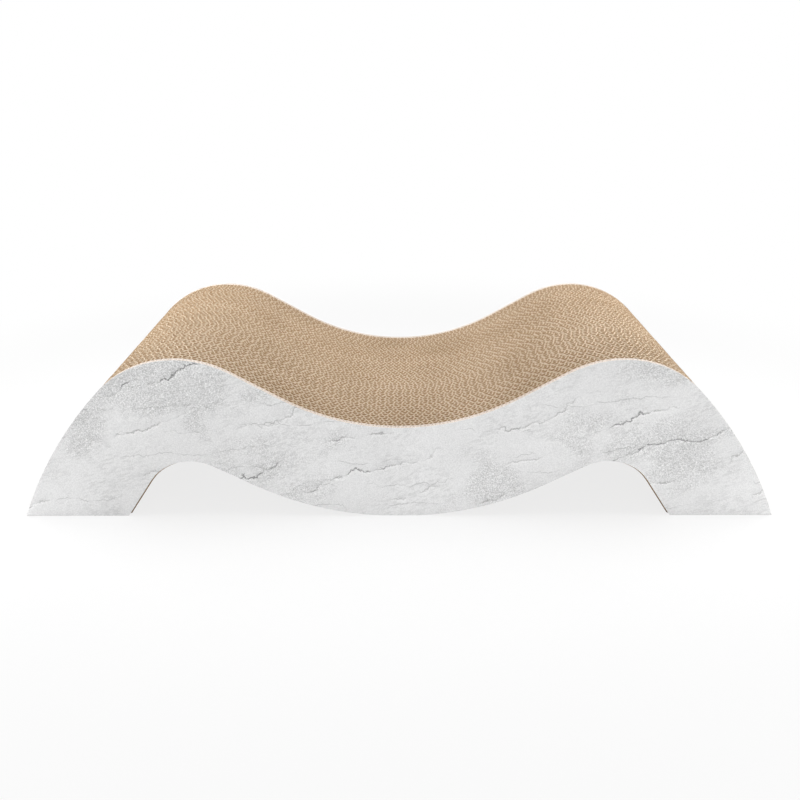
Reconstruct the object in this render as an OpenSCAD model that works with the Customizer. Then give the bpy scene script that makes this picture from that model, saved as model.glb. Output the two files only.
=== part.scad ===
// Cat scratcher: a stack of wave-shaped corrugated boards, glued face to face,
// with a facing board and a printed sheet on the front and on the rear.
// It stands on two feet and on the belly between them.
// +X runs along the wave, the printed front faces -Y, +Z is up.
// The origin is on the floor, under the middle of the stack.

/* [Top wave] */
// Length along the floor, from foot tip to foot tip
length = 680; // [660:10:740]
// Height of the two crests above the floor
crest_h = 151; // [145:1:180]
// Height of the valley between the crests
valley_h = 88; // [70:1:100]
// Distance from crest to crest
crest_gap = 382; // [360:2:394]
// Radius of the outer flank, from a crest down to its foot tip
flank_r = 400; // [320:10:900]

/* [Underside] */
// Height of the two arches above the floor
arch_h = 55.5; // [45:0.5:60]
// Distance from arch crown to arch crown
arch_gap = 372; // [350:1:384]
// Slope of each foot's inner face, in degrees from the floor
foot_slope = 56; // [50:1:70]
// Width of the flat on which the belly stands
belly_flat = 8; // [4:1:30]

/* [Boards] */
// Depth across the boards, from print to print
depth = 250; // [180:5:320]
// Number of corrugated boards in the stack, which share its depth evenly
slat_count = 56; // [40:1:56]
// Thickness of a facing board
facing_t = 4.2; // [1:0.1:7]
// Thickness of a printed sheet
print_t = 0.4; // [0.2:0.05:1]
// Height at which a printed sheet stops above the floor
print_lift = 0.3; // [0.1:0.1:2]

/* [Hidden] */
// A right angle, in degrees
square_turn = 90;
// The steepest slope of a wave, as a share of the steepest one that two arcs can make
top_slope_share = 0.81;
under_slope_share = 0.83;
// The hollow bend's share of the two radii that a wave is made of
valley_share = 0.69;
belly_share = 0.86;
// The most that a chord may stray from its arc
chord_sag = 0.1;
// Reach of a cut past the faces that it goes through
overrun = 1;

// A half wave climbs from a hollow to a crest: an arc, a straight and the opposite arc
function wave_slope(run, rise, share) = share * 2 * atan(rise / run);
function wave_radii(run, rise, slope) =
    (run * sin(slope) - rise * cos(slope)) / (1 - cos(slope));

crest_x = crest_gap / 2;
top_slope = wave_slope(crest_x, crest_h - valley_h, top_slope_share);
top_radii = wave_radii(crest_x, crest_h - valley_h, top_slope);
valley_r = top_radii * valley_share;
crest_r = top_radii - valley_r;
crest_centre = [crest_x, crest_h - crest_r];

// The flank's arc touches the crest's arc from inside and ends at the foot tip
foot_tip = [length / 2, 0];
tip_span = norm(foot_tip - crest_centre);
tip_angle = atan2(foot_tip.y - crest_centre.y, foot_tip.x - crest_centre.x);
centres_gap = flank_r - crest_r;
flank_turn = acos((centres_gap ^ 2 + tip_span ^ 2 - flank_r ^ 2) / (2 * centres_gap * tip_span));
flank_start = tip_angle - flank_turn + 2 * square_turn;
flank_centre = crest_centre - centres_gap * [cos(flank_start), sin(flank_start)];
flank_end = atan2(foot_tip.y - flank_centre.y, foot_tip.x - flank_centre.x);

arch_x = arch_gap / 2;
belly_run = arch_x - belly_flat / 2;
under_slope = wave_slope(belly_run, arch_h, under_slope_share);
under_radii = wave_radii(belly_run, arch_h, under_slope);
belly_r = under_radii * belly_share;
arch_r = under_radii - belly_r;
arch_centre = [arch_x, arch_h - arch_r];

// The foot's inner face leaves the arch as a tangent and ends on the floor
arch_end = arch_centre + arch_r * [sin(foot_slope), cos(foot_slope)];
foot_inner = [arch_end.x + arch_end.y / tan(foot_slope), 0];

// Points of an arc, from one polar angle to another, its first ones left out by skip
function arc_steps(radius, turn) = ceil(abs(turn) / (2 * acos(1 - chord_sag / radius)));
function arc(centre, radius, from, to, skip = 0) =
    let (steps = arc_steps(radius, to - from))
    [for (i = [skip:steps])
        let (a = from + (to - from) * i / steps)
        centre + radius * [cos(a), sin(a)]];

// The right half, clockwise from the valley's lowest point to the belly
half_outline = concat(
    arc([0, valley_h + valley_r], valley_r, -square_turn, top_slope - square_turn),
    arc(crest_centre, crest_r, square_turn + top_slope, flank_start),
    arc(flank_centre, flank_r, flank_start, flank_end, skip = 1),
    [foot_inner],
    arc(arch_centre, arch_r, square_turn - foot_slope, square_turn + under_slope),
    arc([belly_flat / 2, belly_r], belly_r, under_slope - square_turn, -square_turn));
outline = concat(
    half_outline,
    [for (i = [len(half_outline) - 1:-1:1]) [-half_outline[i].x, half_outline[i].y]]);

// The corrugated boards fill what the facing boards and the prints leave of the depth
core_t = depth - 2 * (facing_t + print_t);
slat_t = core_t / slat_count;
core_front = -core_t / 2;

// Numbers under ten get a leading zero, so that the boards sort from front to rear
function slat_name(i) = str("slat_", i < 10 ? "0" : "", i);

// A board of the wave's shape, from front_y towards the rear
module board(front_y, thickness) {
    translate([0, front_y + thickness, 0])
        rotate([square_turn, 0, 0])
            linear_extrude(thickness)
                polygon(outline);
}

// One corrugated board of the stack, the first at the front
module slat(i) {
    color("burlywood")
        board(core_front + (i - 1) * slat_t, slat_t);
}

// The outermost board, on which a printed sheet is laminated
module facing_board(front_y) {
    color("antiquewhite")
        board(front_y, facing_t);
}

module front_facing_board() {
    facing_board(core_front - facing_t);
}

module rear_facing_board() {
    facing_board(core_front + core_t);
}

// A printed sheet, trimmed clear of the floor
module print_sheet(front_y) {
    color("gainsboro")
        difference() {
            board(front_y, print_t);
            translate([-length / 2 - overrun, front_y - overrun, -overrun])
                cube([length + 2 * overrun, print_t + 2 * overrun, overrun + print_lift]);
        }
}

module front_print() {
    print_sheet(-depth / 2);
}

module rear_print() {
    print_sheet(depth / 2 - print_t);
}

for (i = [1:slat_count])
    slat(i);
front_facing_board();
rear_facing_board();
front_print();
rear_print();
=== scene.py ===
"""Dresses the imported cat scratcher: true corrugated boards, stone-look printed sheets and a pale studio.

Laid out as an add-on, run as a script. Lengths are in metres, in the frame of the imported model.
"""

import math

import bmesh
import bpy
from bpy.props import FloatProperty, FloatVectorProperty, IntProperty, PointerProperty
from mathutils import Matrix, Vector


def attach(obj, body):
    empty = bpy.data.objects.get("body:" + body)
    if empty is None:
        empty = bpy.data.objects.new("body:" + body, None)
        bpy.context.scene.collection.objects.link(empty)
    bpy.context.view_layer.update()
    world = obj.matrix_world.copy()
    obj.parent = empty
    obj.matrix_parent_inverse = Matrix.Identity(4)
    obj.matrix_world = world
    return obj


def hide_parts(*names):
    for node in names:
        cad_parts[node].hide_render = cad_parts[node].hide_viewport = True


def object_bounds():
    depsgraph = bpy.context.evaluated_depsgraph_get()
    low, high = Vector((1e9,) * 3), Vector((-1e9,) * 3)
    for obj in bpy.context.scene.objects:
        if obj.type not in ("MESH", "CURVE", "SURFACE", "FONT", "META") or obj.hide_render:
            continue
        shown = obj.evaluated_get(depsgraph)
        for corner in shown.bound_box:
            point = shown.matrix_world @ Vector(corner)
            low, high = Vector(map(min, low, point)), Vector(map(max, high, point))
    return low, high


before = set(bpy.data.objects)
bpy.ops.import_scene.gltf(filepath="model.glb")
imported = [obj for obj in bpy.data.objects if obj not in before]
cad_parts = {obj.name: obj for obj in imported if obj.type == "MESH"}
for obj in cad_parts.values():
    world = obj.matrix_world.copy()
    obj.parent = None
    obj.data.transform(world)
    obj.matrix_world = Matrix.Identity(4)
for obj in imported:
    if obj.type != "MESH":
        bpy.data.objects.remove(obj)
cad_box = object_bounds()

bl_info = {
    "name": "Cat Scratcher Dresser",
    "version": (1, 0, 0),
    "blender": (4, 5, 0),
    "location": "3D View > Sidebar > Scratcher",
    "description": "Dresses a stack of wave-shaped boards as corrugated cardboard with printed sheets",
    "category": "Object",
}

BODY = "root"
SLATS = sorted(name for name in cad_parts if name.startswith("slat_"))
# The facing boards, and the way along Y in which each one's outside looks
FACINGS = {"front_facing_board": -1.0, "rear_facing_board": 1.0}
# Number of the first facing board, clear of the slats' own numbers
FIRST_FACING = 101
PRINTS = ("front_print", "rear_print")
# How much flatter the flutes' crests are, and steeper their flanks, than a sine's
FLAT_TOPS = 2.0
# Where the stone is grainiest: a patch's middle and half its size, along X and along Z
GRAINY = (
    (-0.19, 0.125, 0.09, 0.04),
    (-0.28, 0.09, 0.03, 0.04),
    (0.09, 0.03, 0.035, 0.03),
    (0.225, 0.14, 0.045, 0.02),
    (0.235, 0.06, 0.055, 0.045),
)
# The middle of the part, at which most lamps aim
MIDDLE = (0.0, 0.0, 0.07)
# The lamps: where each stands, where it aims, its width and height, and its power in watts
LAMPS = {
    "front left": ((-0.9, -2.0, 0.2), MIDDLE, (1.0, 0.3), 10.8),
    "front right": ((0.9, -2.0, 0.2), MIDDLE, (1.0, 0.3), 10.8),
    "rear left": ((-0.9, 2.0, 0.2), MIDDLE, (1.0, 0.3), 8.0),
    "rear right": ((0.9, 2.0, 0.2), MIDDLE, (1.0, 0.3), 8.0),
    "left": ((-0.41, 0.0, 0.48), (-0.2, 0.0, 0.1), (0.4, 0.4), 2.4),
    "right": ((0.41, 0.0, 0.48), (0.2, 0.0, 0.1), (0.4, 0.4), 2.4),
    "back": ((0.0, 1.6, 1.5), MIDDLE, (2.0, 1.0), 5.0),
}
FULL_TURN = 2 * math.pi
UP, DOWN = (0.0, 0.0, 1.0), (0.0, 0.0, -1.0)
BLACK, WHITE = (0.0, 0.0, 0.0, 1.0), (1.0, 1.0, 1.0, 1.0)
# Corners closer than this are one corner
SAME_PLACE = 1e-6
# A tree that makes fewer faces than this has failed
LEAST_FACES = 1000


def from_screen(red, green, blue):
    """A colour as a screen shows it, 0 to 255, as the linear values that Blender works in."""
    return tuple(
        c / 12.92 if c <= 0.04045 else ((c + 0.055) / 1.055) ** 2.4
        for c in (red / 255, green / 255, blue / 255)
    )


def length(name, description, default, low=0.0):
    """A length that a user may change, in metres."""
    return FloatProperty(
        name=name,
        description=description,
        default=default,
        min=low,
        precision=5,
        subtype="DISTANCE",
        unit="LENGTH",
    )


def angle(name, description, degrees):
    """An angle that a user may change, written here in degrees."""
    return FloatProperty(
        name=name,
        description=description,
        default=math.radians(degrees),
        subtype="ANGLE",
        unit="ROTATION",
    )


def share(name, description, default):
    """A part of a whole that a user may change, 0 to 1."""
    return FloatProperty(
        name=name,
        description=description,
        default=default,
        min=0.0,
        max=1.0,
        subtype="FACTOR",
    )


def colour(name, description, red, green, blue):
    """A colour that a user may change, written here as a screen shows it."""
    return FloatVectorProperty(
        name=name,
        description=description,
        default=from_screen(red, green, blue),
        size=3,
        min=0.0,
        max=1.0,
        subtype="COLOR",
    )


class SCRATCHER_PG_boards(bpy.types.PropertyGroup):
    """Sizes and colours of the corrugated boards."""

    flute_pitch: length("Flute pitch", "Distance from one flute to the next in a slat", 0.0079)
    fine_pitch: length("Fine flute pitch", "Distance between a facing board's outer flutes", 0.0033)
    fine_height: length("Fine flute height", "Room for the fine flutes between two liners", 0.00125)
    coarse_pitch: length("Coarse flute pitch", "Distance between a facing board's inner flutes", 0.0064)
    liner: length("Liner thickness", "Thickness of a board's flat sheets", 0.0003)
    medium: length("Fluting thickness", "Thickness of the wavy sheet between two liners", 0.0005)
    liner_step: length("Liner step", "Distance between a liner's columns of corners", 0.002, 0.0005)
    columns_per_flute: IntProperty(
        name="Columns per flute",
        description="Columns of corners along one flute's wave",
        default=10,
        min=6,
        max=24,
    )
    stagger: share("Stagger", "Shift of every second board's flutes, as a share of their pitch", 0.25)
    scatter: share("Scatter", "Most random shift of a board's flutes, as a share of their pitch", 0.3)
    unevenness: length("Cut unevenness", "The most that a slat is cut below the stack's shape", 0.0007)
    overhang: length("Overhang", "How far slats hang below the facing boards in the arches", 0.002)
    seed: IntProperty(name="Seed", description="Start of the boards' random differences", default=11)
    liner_colour: colour("Liner colour", "Brown paper of the slats' liners", 160, 130, 96)
    # The fluting's colour shows on steep flanks only near the cut, as painted light; deeper, painted shade
    # turns them to the liner's brown
    medium_colour: colour("Fluting colour", "The flutes' steep flanks near the cut", 209, 189, 163)
    cut_colour: colour("Cut edge colour", "Fibres laid open where a slat is cut", 229, 213, 191)
    facing_colour: colour("Facing colour", "Paler paper of the facing boards' liners", 240, 231, 224)


class SCRATCHER_PG_print(bpy.types.PropertyGroup):
    """Look of the two printed sheets."""

    white: colour("Stone white", "Brightest tone of the printed stone", 250, 250, 250)
    core: colour("Paper core", "The printed sheet's cut edge", 242, 226, 210)
    rise: angle("Rise of the cracks", "Angle at which the stone's cracks climb along the sheet", 21)
    tone: share("Base tone", "Brightness of the stone where nothing darkens it", 0.875)
    crack_depth: share("Crack darkness", "How much darker the middle of a crack is than the stone", 0.34)


class SCRATCHER_PG_stage(bpy.types.PropertyGroup):
    """The camera and the studio round the part."""

    lens: FloatProperty(
        name="Lens",
        description="Focal length of the camera",
        default=37.35,
        min=1.0,
        unit="CAMERA",
    )
    camera_distance: length("Camera distance", "Level distance from the part's front", 0.65717)
    camera_height: length("Camera height", "Height of the camera above the floor", 0.39089)
    camera_offset: length("Camera offset", "How far right of the middle the camera is", -0.00096, -1.0)
    turn: angle("Camera turn", "How far the camera is turned to the left", -0.125)
    tilt: angle("Camera tilt", "How far the camera looks down from level", 22.819)
    dome: FloatProperty(
        name="Dome strength",
        description="Strength of the even light from all round",
        default=0.3,
        min=0.0,
    )
    floor_colour: colour("Floor colour", "Colour of the floor near the part", 243, 243, 243)


def find_socket(sockets, key):
    """The socket with that place, name or identifier, in this order."""
    if isinstance(key, int):
        return sockets[key]
    for socket in sockets:
        if socket.name == key and socket.enabled:
            return socket
    for socket in sockets:
        if socket.identifier == key:
            return socket
    raise KeyError(f"no socket {key} among {[socket.name for socket in sockets]}")


class Wire:
    """An output on its way through a node tree. Arithmetic on it adds Math nodes."""

    def __init__(self, graph, socket):
        self.graph = graph
        self.socket = socket

    def out(self, key):
        """Another output of the same node."""
        return Wire(self.graph, find_socket(self.socket.node.outputs, key))

    def math(self, operation, *values):
        """A Math node on this value and the others."""
        return self.graph.add("ShaderNodeMath", {"operation": operation}, (self, *values))

    def __add__(self, value):
        return self.math("ADD", value)

    def __sub__(self, value):
        return self.math("SUBTRACT", value)

    def __mul__(self, value):
        return self.math("MULTIPLY", value)

    def __truediv__(self, value):
        return self.math("DIVIDE", value)

    def __pow__(self, value):
        return self.math("POWER", value)

    def __lt__(self, value):
        return self.math("LESS_THAN", value)

    def __gt__(self, value):
        return self.math("GREATER_THAN", value)

    def __abs__(self):
        return self.math("ABSOLUTE")

    def __rsub__(self, value):
        return self.graph.add("ShaderNodeMath", {"operation": "SUBTRACT"}, (value, self))

    def __rtruediv__(self, value):
        return self.graph.add("ShaderNodeMath", {"operation": "DIVIDE"}, (value, self))

    __radd__ = __add__
    __rmul__ = __mul__

    def at_least(self, value):
        return self.math("MAXIMUM", value)

    def at_most(self, value):
        return self.math("MINIMUM", value)

    def ramp(self, start, end):
        """0 up to start and 1 from end on, smooth between them. It falls where start is above end."""
        return self.graph.add(
            "ShaderNodeMapRange",
            {"interpolation_type": "SMOOTHSTEP"},
            {"Value": self, "From Min": start, "From Max": end},
        )


class Graph:
    """Adds nodes to one node tree."""

    def __init__(self, tree):
        self.tree = tree

    def add(self, kind, settings=None, sockets=(), output=0):
        """A new node: its settings are set first, then its sockets' values and links."""
        node = self.tree.nodes.new(kind)
        for name, value in (settings or {}).items():
            setattr(node, name, value)
        pairs = sockets.items() if isinstance(sockets, dict) else enumerate(sockets)
        for key, value in pairs:
            socket = find_socket(node.inputs, key)
            for one in value if isinstance(value, list) else [value]:
                if isinstance(one, Wire):
                    self.tree.links.new(one.socket, socket)
                else:
                    socket.default_value = one
        if not node.outputs:
            return None
        return Wire(self, find_socket(node.outputs, output))

    def split(self, vector):
        """A vector's three parts."""
        parts = self.add("ShaderNodeSeparateXYZ", sockets=(vector,))
        return parts, parts.out("Y"), parts.out("Z")

    def join(self, x, y, z):
        """A vector of three parts."""
        return self.add("ShaderNodeCombineXYZ", sockets=(x, y, z))

    def noise(self, vector, scale, detail=2.0, roughness=0.5, distortion=0.0):
        """Random values about 0.5, with about that many bumps to a metre."""
        return self.add(
            "ShaderNodeTexNoise",
            {"noise_dimensions": "3D"},
            {
                "Vector": vector,
                "Scale": scale,
                "Detail": detail,
                "Roughness": roughness,
                "Distortion": distortion,
            },
        )

    def mix(self, factor, low, high):
        """The colour low where the factor is 0 and high where it is 1."""
        return self.add(
            "ShaderNodeMix",
            {"data_type": "RGBA"},
            {"Factor_Float": factor, "A_Color": low, "B_Color": high},
            "Result_Color",
        )

    def store(self, mesh, name, value, domain="FACE"):
        """The mesh with a named number on each of its faces or points."""
        return self.add(
            "GeometryNodeStoreNamedAttribute",
            {"data_type": "FLOAT", "domain": domain},
            {"Geometry": mesh, "Name": name, "Value": value},
        )


def opaque(rgb):
    """A colour with full alpha."""
    return (*rgb, 1.0)


def new_tree(name, inputs, outputs):
    """A geometry tree with named inputs and outputs, and its group input as a wire."""
    tree = bpy.data.node_groups.new(name, "GeometryNodeTree")
    for label, kind, default in inputs:
        item = tree.interface.new_socket(label, in_out="INPUT", socket_type=kind)
        if default is not None:
            item.default_value = default
    for label in outputs:
        tree.interface.new_socket(label, in_out="OUTPUT", socket_type="NodeSocketGeometry")
    graph = Graph(tree)
    return tree, graph, graph.add("NodeGroupInput")


def empty_graph(holder):
    """The node tree of a new material or world, without its first nodes."""
    holder.use_nodes = True
    holder.node_tree.nodes.clear()
    return Graph(holder.node_tree)


def new_material(name):
    """A material with one Principled shader, its graph and the shader node."""
    material = bpy.data.materials.new(name)
    graph = empty_graph(material)
    shader = graph.add("ShaderNodeBsdfPrincipled")
    graph.add("ShaderNodeOutputMaterial", sockets={"Surface": shader})
    return material, graph, shader.socket.node


def feed(graph, node, **values):
    """Sets or links a node's inputs, named with underscores for spaces."""
    for name, value in values.items():
        socket = find_socket(node.inputs, name.replace("_", " "))
        if isinstance(value, Wire):
            graph.tree.links.new(value.socket, socket)
        else:
            socket.default_value = value


def paper_strip_tree():
    """One sheet of paper on edge, cut to a board's outline.

    A grid is wrapped round the sheet: each column goes round its four corners and back to the first.
    Rays up and down each column find the board's underside and top.
    """
    tree, graph, given = new_tree(
        "Paper strip",
        (
            ("Board", "NodeSocketGeometry", None),
            ("Columns", "NodeSocketInt", 300),
            ("Middle", "NodeSocketFloat", 0.0),
            ("Wave Height", "NodeSocketFloat", 0.0),
            ("Pitch", "NodeSocketFloat", 0.0079),
            ("Phase", "NodeSocketFloat", 0.0),
            ("Thickness", "NodeSocketFloat", 0.0003),
            ("Lowering", "NodeSocketFloat", 0.0),
            ("Overhang", "NodeSocketFloat", 0.0),
            ("Unevenness", "NodeSocketFloat", 0.0),
            ("Board Number", "NodeSocketFloat", 0.0),
        ),
        ("Sheet",),
    )
    board = given.out("Board")
    box = graph.add("GeometryNodeBoundBox", sockets=(board,), output="Min")
    low_x, low_y, low_z = graph.split(box)
    high_x, high_y, high_z = graph.split(box.out("Max"))

    # How far the flutes wander along a sheet, in radians, and in how many bends to a metre
    wander, wander_bends = 3.0, 14.0
    # The ragged cut's bumps to a metre, and how many finer layers they have
    ragged_bumps, ragged_layers = 60.0, 3.0
    # Least height of a sheet, and least distance from the board's ends
    margin = 0.0002
    # How far outside the board the rays start, and how far they reach
    clear, reach = 0.1, 2.0
    # Just under half the grid's width, past which only its first and last columns lie
    near_half = 0.49999

    # Columns run along the sheet, 0 to 1. Rows 0 to 4 go round it: front top, back top, back bottom,
    # front bottom and front top again. A face counts as half a row further on.
    sides = 4
    grid = graph.add(
        "GeometryNodeMeshGrid",
        sockets={
            "Size X": 1.0,
            "Size Y": 1.0,
            "Vertices X": given.out("Columns"),
            "Vertices Y": sides + 1,
        },
    )
    grid_x, grid_y, _ = graph.split(graph.add("GeometryNodeInputPosition"))
    along = grid_x + 0.5
    row = (grid_y + 0.5) * float(sides)
    top_or_bottom = abs(row.math("FLOORED_MODULO", 2.0) - 0.5) < 0.25
    back = abs(row - 1.5) < 1.0
    top_row = abs(row - 2.5) > 1.0
    end = abs(along - 0.5) > near_half

    # The wave: a sine with flattened crests, its slope, and the cosine of the angle at which it leans
    x = low_x + along * (high_x - low_x)
    drift = graph.noise(graph.join(x, 0.0, given.out("Board Number")), wander_bends)
    turn = x / given.out("Pitch") * FULL_TURN + given.out("Phase") + drift * wander
    bend = (turn.math("SINE") * FLAT_TOPS).math("TANH")
    swing = given.out("Wave Height") / math.tanh(FLAT_TOPS)
    slope = (1.0 - bend * bend) * turn.math("COSINE") * swing * FLAT_TOPS
    slope = slope / given.out("Pitch") * FULL_TURN
    lean = 1.0 / (slope * slope + 1.0).math("SQRT")
    side = (back * 2.0 - 1.0) * given.out("Thickness") / 2.0
    place_x = (x - slope * lean * side).at_least(low_x + margin).at_most(high_x - margin)
    place_y = given.out("Middle") + swing * bend + lean * side

    def hit(start_z, way):
        """Height at which a ray up or down the column meets the board."""
        start = graph.join(place_x, (low_y + high_y) / 2.0, start_z)
        ray = graph.add(
            "GeometryNodeRaycast",
            sockets={
                "Target Geometry": board,
                "Source Position": start,
                "Ray Direction": way,
                "Ray Length": reach,
            },
            output="Hit Position",
        )
        return graph.split(ray)[2]

    under = (hit(low_z - clear, UP) - given.out("Overhang")).at_least(low_z)
    bumps = graph.join(place_x, place_y, given.out("Board Number"))
    ragged = graph.noise(bumps, ragged_bumps, ragged_layers)
    worn = given.out("Lowering") + given.out("Unevenness") * ragged
    top = (hit(high_z + clear, DOWN) - worn).at_least(under + margin)
    # The first and last columns shrink to a short line on the floor, which closes the sheet's ends
    place_z = low_z + (under + (top - under) * top_row - low_z) * (1.0 - end)

    # For the paper's look: the cut edges, how steep the wave runs, and how far it is to each cut edge,
    # from which the painted light and shade in the flutes follow
    sheet = graph.store(grid, "cut_edge", top_or_bottom)
    sheet = graph.store(sheet, "flank", abs(slope) * lean)
    sheet = graph.store(sheet, "depth", (top - under) * (1.0 - top_row), "POINT")
    sheet = graph.store(sheet, "rise", (top - under) * top_row, "POINT")
    place = graph.join(place_x, place_y, place_z)
    sheet = graph.add("GeometryNodeSetPosition", sockets={"Geometry": sheet, "Position": place})
    sheet = graph.add("GeometryNodeMergeByDistance", sockets={"Geometry": sheet, "Distance": SAME_PLACE})
    graph.add("NodeGroupOutput", sockets=(sheet,))
    return tree


def board_tree(name, strip, flutings):
    """A glued board, from the outside in: a liner, and for each fluting its wavy sheet and a liner.

    Each fluting is the name of its pitch input and of its height input. The last has no height, and
    fills what is left of the board.
    """
    own = [(pitch, "NodeSocketFloat", 0.0079) for pitch, _ in flutings]
    own += [(height, "NodeSocketFloat", 0.00125) for _, height in flutings if height]
    tree, graph, given = new_tree(
        name,
        (
            ("Board", "NodeSocketGeometry", None),
            ("Outside", "NodeSocketFloat", -1.0),
            *own,
            ("Liner", "NodeSocketFloat", 0.0003),
            ("Medium", "NodeSocketFloat", 0.0003),
            ("Columns per Flute", "NodeSocketInt", 8),
            ("Liner Step", "NodeSocketFloat", 0.002),
            ("Unevenness", "NodeSocketFloat", 0.0005),
            ("Overhang", "NodeSocketFloat", 0.0),
            ("Board Number", "NodeSocketInt", 0),
            ("Stagger", "NodeSocketFloat", 0.25),
            ("Scatter", "NodeSocketFloat", 0.3),
            ("Seed", "NodeSocketInt", 0),
            ("Paper", "NodeSocketMaterial", None),
        ),
        ("Board",),
    )
    board = given.out("Board")
    box = graph.add("GeometryNodeBoundBox", sockets=(board,), output="Min")
    low_x, low_y, _ = graph.split(box)
    high_x, high_y, _ = graph.split(box.out("Max"))
    thickness = high_y - low_y
    run = high_x - low_x
    outside = given.out("Outside")
    liner = given.out("Liner")
    medium = given.out("Medium")
    face = (low_y + high_y + outside * thickness) / 2.0
    # Room that the glue takes on each face of the board, and how far the flutes sink into the liners
    glue_gap, glue_sink = 0.00003, 0.00002
    # Distance from one board to the next in the noise that bends their flutes and frays their cuts
    noise_step = 0.03
    # What each random choice adds to the seed. Half turns and scatters count on with the flutings.
    lowering_seed, half_turn_seed, scatter_seed, tone_seed = 0.0, 1.0, 3.0, 9.0

    def chance(step, low, high):
        """A random number for the whole board."""
        return graph.add(
            "FunctionNodeRandomValue",
            {"data_type": "FLOAT"},
            {"Min": low, "Max": high, "ID": given.out("Board Number"), "Seed": given.out("Seed") + step},
            "Value",
        )

    # Half of the unevenness is the whole board's, and half is the ragged cut's
    lowering = chance(lowering_seed, 0.0, given.out("Unevenness")) / 2.0
    sheets = []

    def lay(depth, thick, columns, wave_height, pitch, phase):
        """Adds a sheet with its middle at that depth."""
        sheet = graph.add(
            "GeometryNodeGroup",
            {"node_tree": strip},
            {
                "Board": board,
                "Columns": columns,
                "Middle": face - outside * depth,
                "Wave Height": wave_height,
                "Pitch": pitch,
                "Phase": phase,
                "Thickness": thick,
                "Lowering": lowering,
                "Overhang": given.out("Overhang"),
                "Unevenness": given.out("Unevenness") / 2.0,
                "Board Number": given.out("Board Number") * noise_step,
            },
        )
        sheets.append(sheet)

    def lay_liner(depth):
        """Adds a liner with its outside at that depth, and gives the depth of its inside."""
        lay(depth + liner / 2.0, liner, run / given.out("Liner Step") + 1.0, 0.0, 1.0, 0.0)
        return depth + liner

    depth = lay_liner(glue_gap)
    for step, (pitch_name, height_name) in enumerate(flutings):
        room = given.out(height_name) if height_name else thickness - depth - liner - glue_gap
        pitch = given.out(pitch_name)
        wave_height = (room - medium) / 2.0 + glue_sink
        columns = run / pitch * given.out("Columns per Flute") + 1.0
        # The flutes' shift, in pitches: every second board's own, half a pitch or none, and a random one
        shift = given.out("Board Number").math("FLOORED_MODULO", 2.0) * given.out("Stagger")
        shift = shift + (chance(step + half_turn_seed, 0.0, 1.0) > 0.5) * 0.5
        shift = shift + chance(step + scatter_seed, 0.0, given.out("Scatter"))
        lay(depth + room / 2.0, medium, columns, wave_height, pitch, shift * FULL_TURN)
        depth = lay_liner(depth + room)

    joined = graph.add("GeometryNodeJoinGeometry", sockets=([*reversed(sheets)],))
    joined = graph.store(joined, "board_tone", chance(tone_seed, 0.0, 1.0))
    cut = graph.add("GeometryNodeInputNamedAttribute", {"data_type": "FLOAT"}, {"Name": "cut_edge"})
    uncut = cut < 0.5
    joined = graph.add("GeometryNodeSetShadeSmooth", sockets={"Geometry": joined, "Selection": uncut})
    whole = graph.add("GeometryNodeRealizeInstances", sockets=(joined,))
    paper = given.out("Paper")
    whole = graph.add("GeometryNodeSetMaterial", sockets={"Geometry": whole, "Material": paper})
    graph.add("NodeGroupOutput", sockets=(whole,))
    return tree


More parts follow.
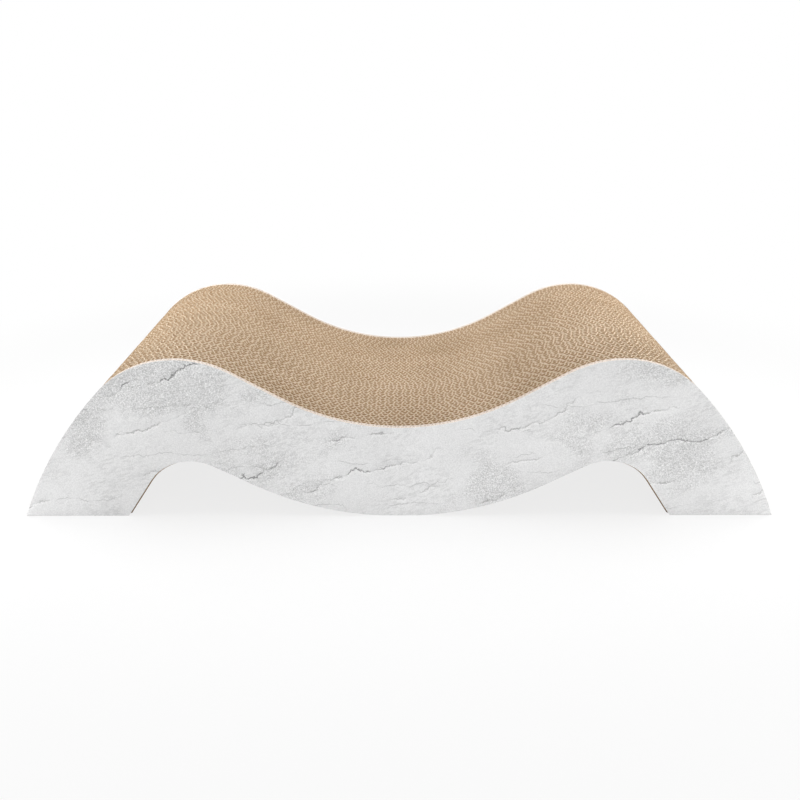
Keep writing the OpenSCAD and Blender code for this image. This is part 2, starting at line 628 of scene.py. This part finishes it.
def paper_material(name, liner, medium, cut):
    """Board paper: fibres, flecks, clouds and a tone of its own for each board.

    The cut lays fibres open. Cut edges turn towards the cut's colour. Near the cut, the steep flanks of
    the flutes turn towards the medium's colour. Deeper between the sheets they turn to the liner's brown
    and the
    paper is darker: painted shade in the flutes, with painted light near the cut. The lowest millimetres
    above a sheet's lower edge are painted shade too.
    """
    # Squeezes Z for the fibres' noise, so that they stand upright
    upright = (1.0, 1.0, 0.22)
    # Distances from a cut, up to which the paper is fully lit and from which it is fully shaded: painted
    # light at the cut and painted shade deep in the flutes
    painted_lit_to, painted_shade_from = 0.0005, 0.0035
    # Distances from the sheet's lower edge, up to which its painted shade is darkest and from which there
    # is none
    underside_shade_full_to, underside_shade_none_from = 0.001, 0.004
    # How steep a flank is, as the sine of its slope, where the medium's colour covers it fully, as far as
    # the painted light near the cut reaches
    steep = 0.8
    # How much of a cut edge is open fibre on a flute's crest, and how much more on its flank
    crest_cover, flank_cover = 0.75, 0.1
    # What the darkest paper keeps of its red, green and blue, in its own dark tones and in painted shade
    darkest = (0.72, 0.68, 0.62)

    material, graph, shader = new_material(name)
    at = graph.add("ShaderNodeTexCoord", output="Object")

    def painted(attribute):
        """A number that the boards' tree left on the mesh."""
        return graph.add("ShaderNodeAttribute", {"attribute_name": attribute}, output="Fac")

    squeezed = graph.add("ShaderNodeVectorMath", {"operation": "MULTIPLY"}, (at, upright))
    fibres = graph.noise(squeezed, 1500.0, detail=3.0, roughness=0.6)
    flecks = graph.noise(at, 700.0)
    clouds = graph.noise(at, 16.0)
    rise = painted("rise")
    # Painted light near each cut, fading into painted shade deeper between the sheets
    painted_light_near_cut = painted("depth").at_most(rise).ramp(painted_shade_from, painted_lit_to)
    flank = painted("flank").ramp(0.0, steep) * painted_light_near_cut
    paper = graph.mix(flank, opaque(liner), opaque(medium))
    cover = painted("cut_edge") * (flank * flank_cover + crest_cover)
    paper = graph.mix(cover, paper, opaque(cut))
    dark = graph.add("ShaderNodeVectorMath", {"operation": "MULTIPLY"}, (paper, darkest))

    # How far each of these takes the paper towards the darkest: a ramp picks the values of its
    # pattern that count, and the factor weighs them. Fibres, flecks, the board's tone and clouds are the
    # paper's own. Depth and underside are painted shade.
    of_fibres = fibres.ramp(0.62, 0.3) * 0.35
    of_flecks = flecks.ramp(0.64, 0.8) * 0.6
    of_board = painted("board_tone") * 0.3
    of_clouds = (clouds - 0.5) * 1.1
    of_painted_depth_shade = (1.0 - painted_light_near_cut) * 0.55
    # Painted shade in the lowest millimetres above each sheet's lower edge
    of_painted_underside_shade = rise.ramp(underside_shade_none_from, underside_shade_full_to) * 0.5
    shade = (of_fibres + of_flecks + of_board).at_most(1.0)
    shade = (shade + of_clouds + of_painted_depth_shade + of_painted_underside_shade).at_least(0.0)

    bump = {"Strength": 0.35, "Distance": 0.00006, "Height": fibres}
    feed(
        graph,
        shader,
        Base_Color=graph.mix(shade, paper, dark),
        Roughness=0.82 + fibres * 0.14,
        Normal=graph.add("ShaderNodeBump", sockets=bump, output="Normal"),
        Specular_IOR_Level=0.25,
    )
    return material


def stone_material(look):
    """A printed sheet with a pale stone look: clouds, thin flakes, grainy patches, veins and cracks."""
    # Distance over which the slope of the cracks' field is measured
    small_step = 0.0003
    # Distance between neighbouring cracks in the noise that breaks them up
    crack_step = 0.731
    # Where the noise of the patches starts, and how much it is squeezed across the stone
    patch_shift, patch_squeeze = 3.1, 1.5
    # Distances from a crack down to its pale rim, and up to the middle of the shaded layer
    rim_away, layer_away = 0.0013, 0.002
    # What flakes and veins darken the stone by on the whole, given back to it
    evened = 0.008
    # The darkest tone
    least_tone = 0.2
    # Turns a tone as a screen shows it into a linear one
    screen_power = 2.2

    material, graph, shader = new_material("stone_print")
    at = graph.add("ShaderNodeTexCoord", output="Object")
    x, y, z = graph.split(at)
    # The stone is laid at an angle: along runs with its cracks, across over them
    turned = look.rise
    along = x * math.cos(turned) + z * math.sin(turned)
    across = z * math.cos(turned) - x * math.sin(turned)

    def cracks(spacing, wander, scale, detail, roughness, tilt, shift):
        """Jagged lines that run along the stone.

        Gives how far away the nearest is, in metres and below 0 on its lower side, a slow noise for
        where it is there at all, and how whole it is.
        """
        run = along * math.cos(tilt) + across * math.sin(tilt) + shift
        rise = across * math.cos(tilt) - along * math.sin(tilt)

        def count(move_run, move_rise):
            """Number of the line at this place, with a fraction for the way to the next."""
            place = graph.join(run + move_run, y, rise + move_rise)
            return (rise + move_rise) / spacing + graph.noise(place, scale, detail, roughness) * wander

        here = count(0.0, 0.0)
        slope_run = (count(small_step, 0.0) - here) / small_step
        slope_rise = (count(0.0, small_step) - here) / small_step
        steepness = (slope_run * slope_run + slope_rise * slope_rise).math("SQRT")
        away = (here.math("FRACT") - 0.5) / steepness * slope_rise.math("SIGN")
        piece = graph.join(run, y, here.math("FLOOR") * crack_step)
        whole = graph.noise(piece, 110.0, detail=1.0).ramp(0.36, 0.5) * 0.75 + 0.25
        return away, graph.noise(piece, 15.0, roughness=0.6), whole

    clouds = graph.noise(at, 7.0, detail=4.0, roughness=0.55, distortion=0.6)
    grain = graph.noise(at, 950.0, roughness=0.8)

    patches = graph.noise(
        graph.join(along + patch_shift, y, across * patch_squeeze),
        10.0,
        detail=4.0,
        roughness=0.6,
        distortion=0.5,
    )
    patches = patches - 0.06
    for middle_x, middle_z, half_x, half_z in GRAINY:
        out_x = (x - middle_x) / half_x
        out_z = (z - middle_z) / half_z
        patches = patches + (1.0 - (out_x * out_x + out_z * out_z)).at_least(0.0) * 0.2
    patches = patches.ramp(0.46, 0.62)

    # Flakes and veins are stretched along the stone, and each keeps to parts of it
    flakes = graph.noise(graph.join(along * 0.3, y, across), 430.0, detail=3.0, roughness=0.6)
    flakes = flakes.ramp(0.5, 0.55) * graph.noise(at, 28.0).ramp(0.42, 0.6)
    veins = graph.noise(graph.join(along * 0.45, y, across), 170.0, detail=3.0, roughness=0.6)
    veins = abs(veins - 0.5).ramp(0.022, 0.0)
    veins = veins * graph.noise(at, 40.0).ramp(0.5, 0.62) * (patches * 0.6 + 0.4)

    crack, crack_there, crack_whole = cracks(
        spacing=0.036, wander=2.0, scale=9.0, detail=7.0, roughness=0.64, tilt=0.0, shift=0.0
    )
    hair, hair_there, hair_whole = cracks(
        spacing=0.021, wander=1.6, scale=18.0, detail=5.0, roughness=0.66, tilt=-0.3, shift=5.3
    )
    present = crack_there.ramp(0.46, 0.54)
    strong = crack_there.ramp(0.52, 0.62) * 0.6 + 0.4
    # Widths are in metres: each ramp starts at half the width and is full near the middle
    core = abs(crack).ramp(0.0009, 0.0001) * present * strong * crack_whole
    rim = abs(crack + rim_away).ramp(0.0011, 0.0002) * present
    layer = abs(crack - layer_away).ramp(0.006, 0.0) * present
    thread = abs(hair).ramp(0.0006, 0.0001) * hair_there.ramp(0.48, 0.58) * hair_whole

    # What lightens and darkens the stone, each weighed by its factor
    grain_depth = patches * 0.55 + 0.25
    tone = look.tone + (clouds - 0.5) * 0.12 - patches * 0.05 + (grain - 0.5) * grain_depth
    tone = tone - flakes * 0.04 - veins * 0.08 + evened
    tone = tone - core * look.crack_depth - thread * 0.12 - layer * 0.02 + rim * 0.045
    tone = tone.at_least(least_tone).at_most(1.0)
    stone = graph.mix(tone**screen_power, BLACK, opaque(look.white))

    # The sheet's two faces look along Y and are printed, its thin edge is bare
    _, facing, _ = graph.split(graph.add("ShaderNodeNewGeometry", output="Normal"))
    printed = abs(facing).ramp(0.4, 0.6)
    bump = {"Strength": 0.25, "Distance": 0.00005, "Height": grain - core}
    feed(
        graph,
        shader,
        Base_Color=graph.mix(printed, opaque(look.core), stone),
        Roughness=0.5 + grain * 0.12 + patches * 0.06,
        Normal=graph.add("ShaderNodeBump", sockets=bump, output="Normal"),
        Specular_IOR_Level=0.35,
    )
    return material


def merged_copy(node_name, piece_name):
    """A new piece with a copy of a CAD node's mesh, its doubled corners merged."""
    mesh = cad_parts[node_name].data.copy()
    work = bmesh.new()
    work.from_mesh(mesh)
    bmesh.ops.remove_doubles(work, verts=work.verts, dist=SAME_PLACE)
    work.to_mesh(mesh)
    work.free()
    mesh.materials.clear()
    piece = bpy.data.objects.new(piece_name, mesh)
    bpy.context.scene.collection.objects.link(piece)
    return piece


def build_boards(tree, boards, common):
    """Runs the tree on each board's CAD mesh, and keeps the results as plain pieces.

    boards maps a CAD node's name to its piece's name and its own inputs.
    """
    keys = {
        item.name: item.identifier
        for item in tree.interface.items_tree
        if item.item_type == "SOCKET" and item.in_out == "INPUT"
    }
    pieces = {}
    for node_name, (piece_name, own) in boards.items():
        piece = merged_copy(node_name, piece_name)
        modifier = piece.modifiers.new(tree.name, "NODES")
        modifier.node_group = tree
        for label, value in {**common, **own}.items():
            modifier[keys[label]] = value
        pieces[node_name] = piece
    graph = bpy.context.evaluated_depsgraph_get()
    plain = {
        node_name: bpy.data.meshes.new_from_object(piece.evaluated_get(graph), depsgraph=graph)
        for node_name, piece in pieces.items()
    }
    for node_name, piece in pieces.items():
        mesh = plain[node_name]
        if len(mesh.polygons) < LEAST_FACES:
            raise RuntimeError(f"the tree made only {len(mesh.polygons)} faces for {node_name}")
        piece.modifiers.clear()
        raw = piece.data
        piece.data = mesh
        mesh.name = piece.name
        bpy.data.meshes.remove(raw)
        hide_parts(node_name)
        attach(piece, BODY)


def strip_tree():
    """The paper strip's tree, made once for both kinds of board."""
    return bpy.data.node_groups.get("Paper strip") or paper_strip_tree()


def common_inputs(boards, paper):
    """What both kinds of board take from the settings."""
    return {
        "Liner": boards.liner,
        "Medium": boards.medium,
        "Columns per Flute": boards.columns_per_flute,
        "Liner Step": boards.liner_step,
        "Stagger": boards.stagger,
        "Scatter": boards.scatter,
        "Seed": boards.seed,
        "Paper": paper,
    }


class SCRATCHER_OT_slats(bpy.types.Operator):
    """Build the stack of corrugated slats"""

    bl_idname = "scratcher.slats"
    bl_label = "Corrugated Slats"

    def execute(self, context):
        boards = context.scene.scratcher_boards
        paper = paper_material(
            "kraft_board", boards.liner_colour, boards.medium_colour, boards.cut_colour
        )
        tree = board_tree("Corrugated slat", strip_tree(), (("Flute Pitch", None),))
        common = {
            **common_inputs(boards, paper),
            "Flute Pitch": boards.flute_pitch,
            "Unevenness": boards.unevenness,
            "Overhang": boards.overhang,
        }
        slats = {name: (f"corrugated_{name}", {"Board Number": i + 1}) for i, name in enumerate(SLATS)}
        build_boards(tree, slats, common)
        return {"FINISHED"}


class SCRATCHER_OT_facing_boards(bpy.types.Operator):
    """Build the double-wall facing boards, their fine flutes outside"""

    bl_idname = "scratcher.facing_boards"
    bl_label = "Facing Boards"

    def execute(self, context):
        # How many times truer than a slat a facing board is cut
        truer = 3
        boards = context.scene.scratcher_boards
        paper = paper_material(
            "facing_board", boards.facing_colour, boards.liner_colour, boards.facing_colour
        )
        flutings = (("Fine Pitch", "Fine Height"), ("Coarse Pitch", None))
        tree = board_tree("Double-wall facing board", strip_tree(), flutings)
        common = {
            **common_inputs(boards, paper),
            "Fine Pitch": boards.fine_pitch,
            "Fine Height": boards.fine_height,
            "Coarse Pitch": boards.coarse_pitch,
            "Unevenness": boards.unevenness / truer,
        }
        facings = {
            name: (f"double_wall_{name}", {"Board Number": FIRST_FACING + i, "Outside": outside})
            for i, (name, outside) in enumerate(FACINGS.items())
        }
        build_boards(tree, facings, common)
        return {"FINISHED"}


class SCRATCHER_OT_printed_sheets(bpy.types.Operator):
    """Give the two printed sheets their stone look"""

    bl_idname = "scratcher.printed_sheets"
    bl_label = "Printed Sheets"

    def execute(self, context):
        stone = stone_material(context.scene.scratcher_print)
        for name in PRINTS:
            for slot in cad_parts[name].material_slots:
                slot.material = stone
        return {"FINISHED"}


def add_lamp(name, place, aim, size, power):
    """A flat soft lamp."""
    lamp = bpy.data.lights.new(name, "AREA")
    lamp.shape = "RECTANGLE"
    lamp.size, lamp.size_y = size
    lamp.energy = power
    holder = bpy.data.objects.new(name, lamp)
    holder.location = place
    holder.rotation_euler = (Vector(aim) - Vector(place)).to_track_quat("-Z", "Y").to_euler()
    bpy.context.scene.collection.objects.link(holder)


def seen_directly(graph):
    """1 for what the camera, a reflection or glass shows, 0 for the light that falls on the part."""
    path = graph.add("ShaderNodeLightPath", output="Is Camera Ray")
    return path.at_least(path.out("Is Glossy Ray")).at_least(path.out("Is Transmission Ray"))


def floor_material(rgb):
    """A pale floor that takes the part's shadow and turns white further out."""
    # How white the floor is near the part, and the distances over which it turns wholly white
    near_share, rise_from, rise_to = 0.8, 0.35, 0.8
    material = bpy.data.materials.new("floor")
    graph = empty_graph(material)
    at = graph.add("ShaderNodeTexCoord", output="Object")
    distance = graph.add("ShaderNodeVectorMath", {"operation": "LENGTH"}, (at,), "Value")
    near = graph.add("ShaderNodeBsdfDiffuse", sockets={"Color": opaque(rgb)})
    white = graph.add("ShaderNodeEmission", sockets={"Color": WHITE, "Strength": 1.0})
    share_white = distance.ramp(rise_from, rise_to) * (1.0 - near_share) + near_share
    share_white = share_white * seen_directly(graph)
    surface = graph.add("ShaderNodeMixShader", sockets=(share_white, near, white))
    graph.add("ShaderNodeOutputMaterial", sockets={"Surface": surface})
    return material


class SCRATCHER_OT_stage(bpy.types.Operator):
    """Set the floor, the light and the camera"""

    bl_idname = "scratcher.stage"
    bl_label = "Stage"

    def execute(self, context):
        scene = context.scene
        stage = scene.scratcher_stage
        # Half of the floor's width
        reach = 20.0
        mesh = bpy.data.meshes.new("floor")
        corners = [(x * reach, y * reach, 0.0) for x, y in ((-1, -1), (1, -1), (1, 1), (-1, 1))]
        mesh.from_pydata(corners, [], [(0, 1, 2, 3)])
        mesh.materials.append(floor_material(stage.floor_colour))
        floor = bpy.data.objects.new("floor", mesh)
        scene.collection.objects.link(floor)

        world = bpy.data.worlds.new("studio")
        scene.world = world
        graph = empty_graph(world)
        dome = graph.add("ShaderNodeBackground", sockets={"Color": WHITE, "Strength": stage.dome})
        shown = graph.add("ShaderNodeBackground", sockets={"Color": WHITE, "Strength": 1.0})
        sky = graph.add("ShaderNodeMixShader", sockets=(seen_directly(graph), dome, shown))
        graph.add("ShaderNodeOutputWorld", sockets={"Surface": sky})

        for name, lamp in LAMPS.items():
            add_lamp(name, *lamp)

        camera = bpy.data.cameras.new("camera")
        camera.sensor_width = 36.0
        camera.lens = stage.lens
        camera.clip_start, camera.clip_end = 0.01, 100.0
        holder = bpy.data.objects.new("camera", camera)
        camera_y = cad_box[0][1] - stage.camera_distance
        holder.location = (stage.camera_offset, camera_y, stage.camera_height)
        holder.rotation_euler = (math.pi / 2 - stage.tilt, 0.0, stage.turn)
        scene.collection.objects.link(holder)
        scene.camera = holder
        scene.view_settings.view_transform = "Standard"
        return {"FINISHED"}


OPERATORS = (
    SCRATCHER_OT_slats,
    SCRATCHER_OT_facing_boards,
    SCRATCHER_OT_printed_sheets,
    SCRATCHER_OT_stage,
)
SETTINGS = {
    "scratcher_boards": SCRATCHER_PG_boards,
    "scratcher_print": SCRATCHER_PG_print,
    "scratcher_stage": SCRATCHER_PG_stage,
}


class SCRATCHER_PT_panel(bpy.types.Panel):
    """The scratcher's sizes and colours, and what builds it"""

    bl_label = "Cat Scratcher"
    bl_idname = "SCRATCHER_PT_panel"
    bl_space_type = "VIEW_3D"
    bl_region_type = "UI"
    bl_category = "Scratcher"

    def draw(self, context):
        for holder, kind in SETTINGS.items():
            box = self.layout.box()
            for name in kind.__annotations__:
                box.prop(getattr(context.scene, holder), name)
        for operator in OPERATORS:
            self.layout.operator(operator.bl_idname)


CLASSES = (*SETTINGS.values(), *OPERATORS, SCRATCHER_PT_panel)


def register():
    for kind in CLASSES:
        bpy.utils.register_class(kind)
    for holder, kind in SETTINGS.items():
        setattr(bpy.types.Scene, holder, PointerProperty(type=kind))


def unregister():
    for holder in SETTINGS:
        delattr(bpy.types.Scene, holder)
    for kind in reversed(CLASSES):
        bpy.utils.unregister_class(kind)


def main():
    register()
    bpy.ops.scratcher.slats()
    bpy.ops.scratcher.facing_boards()
    bpy.ops.scratcher.printed_sheets()
    bpy.ops.scratcher.stage()


if __name__ == "__main__":
    main()
